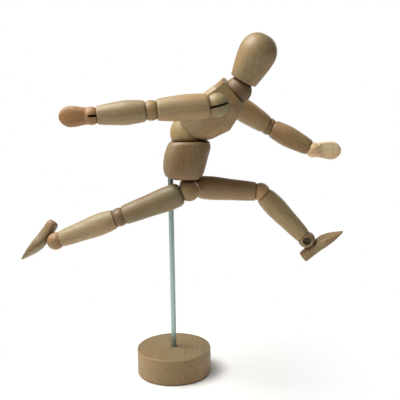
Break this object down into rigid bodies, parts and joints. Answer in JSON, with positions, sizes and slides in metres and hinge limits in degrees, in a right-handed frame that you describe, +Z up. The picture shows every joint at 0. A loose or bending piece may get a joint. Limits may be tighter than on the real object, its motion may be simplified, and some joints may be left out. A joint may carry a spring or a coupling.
{
  "type": "artist mannequin",
  "caption": "Jointed wooden drawing figure in a leaping stride, carried on a steel rod above a round wooden base; ball joints on hooked springs let every limb be posed.",
  "frame": {"origin": "centre of the underside of the round base, on the axis of the support rod", "axes": "+Z up along the support rod, +X the way the figure faces and strides, +Y to the figure's own left"},
  "size_m": [0.2679, 0.1006, 0.282],
  "materials": {
    "limb_wood": "satin, clear-varnished pale hardwood with the grain along each piece",
    "ball_wood": "satin, slightly darker turned hardwood",
    "base_wood": "satin, with growth rings on the top face",
    "rod_steel": "drawn bright steel",
    "spring_steel": "plain drawn spring wire"
  },
  "bodies": {
    "root": {"base_disc": "base_wood", "support_rod": "rod_steel", "pelvis": "limb_wood", "hip_spring_left": "spring_steel", "hip_spring_right": "spring_steel"},
    "waist_ball": {"waist_ball": "ball_wood"},
    "waist_link": {"waist_link": "spring_steel"},
    "chest": {"chest": "limb_wood", "waist_spring": "spring_steel", "shoulder_spring": "spring_steel"},
    "neck_ball": {"neck_ball": "ball_wood"},
    "head": {"head": "limb_wood", "neck_link": "spring_steel", "neck_spring": "spring_steel"},
    "shoulder_ball_right": {"shoulder_ball_right": "ball_wood"},
    "shoulder_link_right": {"shoulder_link_right": "spring_steel"},
    "upper_arm_right": {"upper_arm_right": "limb_wood", "upper_arm_spring_right": "spring_steel", "elbow_upper_link_right": "spring_steel"},
    "elbow_ball_right": {"elbow_ball_right": "ball_wood"},
    "elbow_lower_link_right": {"elbow_lower_link_right": "spring_steel"},
    "forearm_right": {"forearm_right": "limb_wood", "forearm_spring_right": "spring_steel", "wrist_link_right": "spring_steel"},
    "hand_right": {"hand_right": "limb_wood"},
    "shoulder_ball_left": {"shoulder_ball_left": "ball_wood"},
    "shoulder_link_left": {"shoulder_link_left": "spring_steel"},
    "upper_arm_left": {"upper_arm_left": "limb_wood", "upper_arm_spring_left": "spring_steel", "elbow_upper_link_left": "spring_steel"},
    "elbow_ball_left": {"elbow_ball_left": "ball_wood"},
    "elbow_lower_link_left": {"elbow_lower_link_left": "spring_steel"},
    "forearm_left": {"forearm_left": "limb_wood", "forearm_spring_left": "spring_steel", "wrist_link_left": "spring_steel"},
    "hand_left": {"hand_left": "limb_wood"},
    "hip_ball_right": {"hip_ball_right": "ball_wood"},
    "hip_link_right": {"hip_link_right": "spring_steel"},
    "thigh_right": {"thigh_right": "limb_wood", "thigh_spring_right": "spring_steel", "knee_upper_link_right": "spring_steel"},
    "knee_ball_right": {"knee_ball_right": "ball_wood"},
    "knee_lower_link_right": {"knee_lower_link_right": "spring_steel"},
    "shin_right": {"shin_right": "limb_wood", "shin_spring_right": "spring_steel", "ankle_link_right": "spring_steel"},
    "ankle_ball_right": {"ankle_ball_right": "ball_wood"},
    "foot_right": {"foot_right": "limb_wood"},
    "hip_ball_left": {"hip_ball_left": "ball_wood"},
    "hip_link_left": {"hip_link_left": "spring_steel"},
    "thigh_left": {"thigh_left": "limb_wood", "thigh_spring_left": "spring_steel", "knee_upper_link_left": "spring_steel"},
    "knee_ball_left": {"knee_ball_left": "ball_wood"},
    "knee_lower_link_left": {"knee_lower_link_left": "spring_steel"},
    "shin_left": {"shin_left": "limb_wood", "shin_spring_left": "spring_steel", "ankle_link_left": "spring_steel"},
    "ankle_ball_left": {"ankle_ball_left": "ball_wood"},
    "foot_left": {"foot_left": "limb_wood"}
  },
  "joints": [
    {"name": "waist_turn", "type": "hinge", "parent": "root", "child": "waist_ball", "pos_m": [0.0165, 0, 0.2048], "axis": [0, 0, 1], "range_deg": [-40, 40]},
    {"name": "waist_bend", "type": "hinge", "parent": "waist_ball", "child": "waist_link", "pos_m": [0.0165, 0, 0.2048], "axis": [0.2259, 0.9742, 0], "range_deg": [-75, 1]},
    {"name": "chest_turn", "type": "hinge", "parent": "waist_link", "child": "chest", "pos_m": [0.0165, 0, 0.2048], "axis": [0.7489, -0.1736, 0.6396], "range_deg": [-20, 4]},
    {"name": "neck_turn", "type": "hinge", "parent": "chest", "child": "neck_ball", "pos_m": [0.05574, -0.0091, 0.23831], "axis": [0.7489, -0.1736, 0.6396], "range_deg": [-70, 70]},
    {"name": "head_nod", "type": "hinge", "parent": "neck_ball", "child": "head", "pos_m": [0.05574, -0.0091, 0.23831], "axis": [0.132, 0.9848, 0.1128], "range_deg": [-28, 45]},
    {"name": "shoulder_turn_right", "type": "hinge", "parent": "chest", "child": "shoulder_ball_right", "pos_m": [0.03796, -0.03485, 0.22681], "axis": [-0.132, -0.9848, -0.1128], "range_deg": [-75, 75]},
    {"name": "arm_raise_right", "type": "hinge", "parent": "shoulder_ball_right", "child": "shoulder_link_right", "pos_m": [0.03796, -0.03485, 0.22681], "axis": [-0.2371, -0.0791, 0.9683], "range_deg": [-1, 95]},
    {"name": "upper_arm_turn_right", "type": "hinge", "parent": "shoulder_link_right", "child": "upper_arm_right", "pos_m": [0.03796, -0.03485, 0.22681], "axis": [-0.9882, -0.1392, -0.0639], "range_deg": [-80, 80]},
    {"name": "elbow_right", "type": "hinge", "parent": "upper_arm_right", "child": "elbow_ball_right", "pos_m": [-0.01145, -0.0418, 0.22362], "axis": [-0.1389, 0.9903, -0.009], "range_deg": [-29, 29]},
    {"name": "elbow_lower_right", "type": "hinge", "parent": "elbow_ball_right", "child": "elbow_lower_link_right", "pos_m": [-0.01145, -0.0418, 0.22362], "axis": [-0.1389, 0.9903, -0.009], "range_deg": [-29, 29]},
    {"name": "forearm_turn_right", "type": "hinge", "parent": "elbow_lower_link_right", "child": "forearm_right", "pos_m": [-0.01145, -0.0418, 0.22362], "axis": [-0.9873, -0.1392, -0.0761], "range_deg": [-85, 85]},
    {"name": "wrist_right", "type": "hinge", "parent": "forearm_right", "child": "hand_right", "pos_m": [-0.05489, -0.04793, 0.22027], "axis": [-0.0171, -0.0024, 0.9999], "range_deg": [-50, 50]},
    {"name": "shoulder_turn_left", "type": "hinge", "parent": "chest", "child": "shoulder_ball_left", "pos_m": [0.04562, 0.02227, 0.23335], "axis": [-0.132, -0.9848, -0.1128], "range_deg": [-75, 75]},
    {"name": "arm_raise_left", "type": "hinge", "parent": "shoulder_ball_left", "child": "shoulder_link_left", "pos_m": [0.04562, 0.02227, 0.23335], "axis": [0.7208, -0.1735, 0.6711], "range_deg": [0, 95]},
    {"name": "upper_arm_turn_left", "type": "hinge", "parent": "shoulder_link_left", "child": "upper_arm_left", "pos_m": [0.04562, 0.02227, 0.23335], "axis": [0.7974, 0.3256, -0.508], "range_deg": [-80, 80]},
    {"name": "elbow_left", "type": "hinge", "parent": "upper_arm_left", "child": "elbow_ball_left", "pos_m": [0.08549, 0.03855, 0.20795], "axis": [0.4979, 0.1205, 0.8588], "range_deg": [-13, 44]},
    {"name": "elbow_lower_left", "type": "hinge", "parent": "elbow_ball_left", "child": "elbow_lower_link_left", "pos_m": [0.08549, 0.03855, 0.20795], "axis": [0.4979, 0.1205, 0.8588], "range_deg": [-13, 44]},
    {"name": "forearm_turn_left", "type": "hinge", "parent": "elbow_lower_link_left", "child": "forearm_left", "pos_m": [0.08549, 0.03855, 0.20795], "axis": [0.8563, -0.225, -0.4649], "range_deg": [-85, 85]},
    {"name": "wrist_left", "type": "hinge", "parent": "forearm_left", "child": "hand_left", "pos_m": [0.12317, 0.02865, 0.18749], "axis": [0.2248, 0.9744, -0.0079], "range_deg": [-34, 50]},
    {"name": "hip_turn_right", "type": "hinge", "parent": "root", "child": "hip_ball_right", "pos_m": [0.0155, -0.013, 0.159], "axis": [0, 0, -1], "range_deg": [-50, 3]},
    {"name": "leg_raise_right", "type": "hinge", "parent": "hip_ball_right", "child": "hip_link_right", "pos_m": [0.0155, -0.013, 0.159], "axis": [-0.0279, 0.9996, 0], "range_deg": [-44, 14]},
    {"name": "thigh_turn_right", "type": "hinge", "parent": "hip_link_right", "child": "thigh_right", "pos_m": [0.0155, -0.013, 0.159], "axis": [0.9394, 0.0262, 0.3419], "range_deg": [-40, 40]},
    {"name": "knee_right", "type": "hinge", "parent": "thigh_right", "child": "knee_ball_right", "pos_m": [-0.04133, -0.01458, 0.13831], "axis": [-0.0246, 0.9997, -0.009], "range_deg": [-28, 28]},
    {"name": "knee_lower_right", "type": "hinge", "parent": "knee_ball_right", "child": "knee_lower_link_right", "pos_m": [-0.04133, -0.01458, 0.13831], "axis": [-0.0246, 0.9997, -0.009], "range_deg": [-28, 28]},
    {"name": "shin_turn_right", "type": "hinge", "parent": "knee_lower_link_right", "child": "shin_right", "pos_m": [-0.04133, -0.01458, 0.13831], "axis": [-0.9406, -0.0262, -0.3386], "range_deg": [-60, 60]},
    {"name": "ankle_right", "type": "hinge", "parent": "shin_right", "child": "ankle_ball_right", "pos_m": [-0.09363, -0.01604, 0.11949], "axis": [0.1209, 0.906, -0.4057], "range_deg": [-45, 35]},
    {"name": "hip_turn_left", "type": "hinge", "parent": "root", "child": "hip_ball_left", "pos_m": [0.0155, 0.013, 0.159], "axis": [0, 0, -1], "range_deg": [-50, 35]},
    {"name": "leg_raise_left", "type": "hinge", "parent": "hip_ball_left", "child": "hip_link_left", "pos_m": [0.0155, 0.013, 0.159], "axis": [0.1222, 0.9925, 0], "range_deg": [-4, 64]},
    {"name": "thigh_turn_left", "type": "hinge", "parent": "hip_link_left", "child": "thigh_left", "pos_m": [0.0155, 0.013, 0.159], "axis": [0.9896, -0.1219, -0.0761], "range_deg": [-40, 40]},
    {"name": "knee_left", "type": "hinge", "parent": "thigh_left", "child": "knee_ball_left", "pos_m": [0.07537, 0.00563, 0.15439], "axis": [0.1215, 0.9925, -0.0093], "range_deg": [-42, 7]},
    {"name": "knee_lower_left", "type": "hinge", "parent": "knee_ball_left", "child": "knee_lower_link_left", "pos_m": [0.07537, 0.00563, 0.15439], "axis": [0.1215, 0.9925, -0.0093], "range_deg": [-42, 7]},
    {"name": "shin_turn_left", "type": "hinge", "parent": "knee_lower_link_left", "child": "shin_left", "pos_m": [0.07537, 0.00563, 0.15439], "axis": [0.6841, -0.0906, -0.7237], "range_deg": [-60, 60]},
    {"name": "ankle_left", "type": "hinge", "parent": "shin_left", "child": "ankle_ball_left", "pos_m": [0.11341, 0.00059, 0.11415], "axis": [0.1215, 0.9925, -0.0093], "range_deg": [-45, 45]},
    {"name": "foot_rock_right", "type": "hinge", "parent": "ankle_ball_right", "child": "foot_right", "pos_m": [-0.09363, -0.01604, 0.11949], "axis": [-0.5732, -0.27, -0.7737], "range_deg": [-30, 30]},
    {"name": "foot_rock_left", "type": "hinge", "parent": "ankle_ball_left", "child": "foot_left", "pos_m": [0.11341, 0.00059, 0.11415], "axis": [0.7704, -0.0884, 0.6314], "range_deg": [-30, 30]}
  ],
  "couplings": [
    {"joint": "elbow_lower_right", "follows": "elbow_right", "ratio": 1},
    {"joint": "elbow_lower_left", "follows": "elbow_left", "ratio": 1},
    {"joint": "knee_lower_right", "follows": "knee_right", "ratio": 1},
    {"joint": "knee_lower_left", "follows": "knee_left", "ratio": 1}
  ]
}
